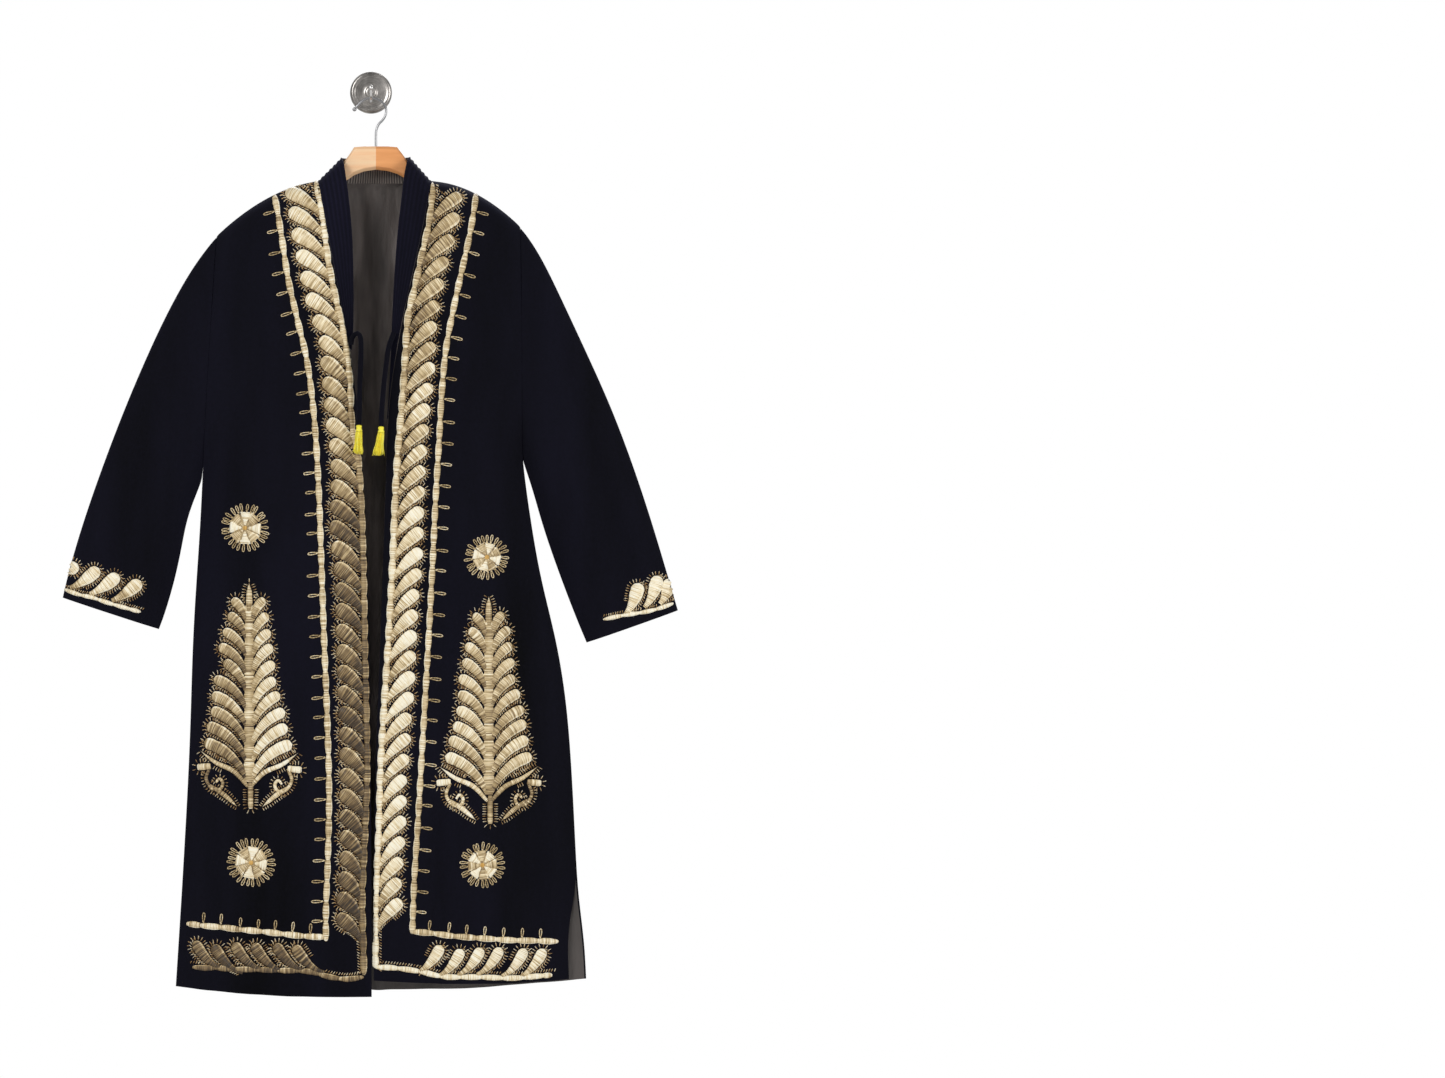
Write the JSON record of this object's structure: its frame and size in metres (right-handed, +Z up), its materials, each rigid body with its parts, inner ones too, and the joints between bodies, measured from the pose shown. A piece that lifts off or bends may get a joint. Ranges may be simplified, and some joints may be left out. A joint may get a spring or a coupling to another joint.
{
  "type": "embroidered robe on a hanger with a wall hook",
  "caption": "Long open velvet robe with padded gold embroidery, hung on a wooden hanger from a round steel wall hook.",
  "frame": {"origin": "middle of the flat back of the wall plate, where it is fixed to the wall", "axes": "+Y into the wall, +Z up, +X to the right of someone who faces the robe; the robe's front looks along -Y"},
  "size_m": [0.8728, 0.1147, 1.3155],
  "materials": {
    "velvet": "dark navy cotton velvet with a soft nap",
    "lining": "dark grey-brown satin lining",
    "gold_thread": "padded satin stitch in pale gold silk thread",
    "tie_velvet": "narrow velvet tube, sewn",
    "tassel_thread": "loose yellow thread",
    "hanger_wood": "varnished light wood",
    "wire_steel": "bright drawn wire",
    "plate_steel": "polished turned plate"
  },
  "bodies": {
    "root": {"front_left": "velvet", "front_right": "velvet", "back": "velvet", "sleeve_left": "velvet", "sleeve_right": "velvet", "neckband": "velvet", "lining_front_left": "lining", "lining_front_right": "lining", "lining_back": "lining", "lining_cuff_left": "lining", "lining_cuff_right": "lining", "garland_left": "gold_thread", "garland_right": "gold_thread", "line_left": "gold_thread", "line_right": "gold_thread", "cypress_left": "gold_thread", "cypress_right": "gold_thread", "rosette_upper_left": "gold_thread", "rosette_lower_left": "gold_thread", "rosette_upper_right": "gold_thread", "rosette_lower_right": "gold_thread", "necklace": "gold_thread", "wreath": "gold_thread", "back_hem_left": "gold_thread", "back_hem_right": "gold_thread", "cuff_petals_front_left": "gold_thread", "cuff_petals_back_left": "gold_thread", "cuff_petals_front_right": "gold_thread", "cuff_petals_back_right": "gold_thread", "tie_left": "tie_velvet", "tie_right": "tie_velvet", "tassel_left": "tassel_thread", "tassel_right": "tassel_thread", "hanger_wood": "hanger_wood", "hanger_wire": "wire_steel", "wall_plate": "plate_steel", "wall_hook": "plate_steel"}
  },
  "joints": []
}
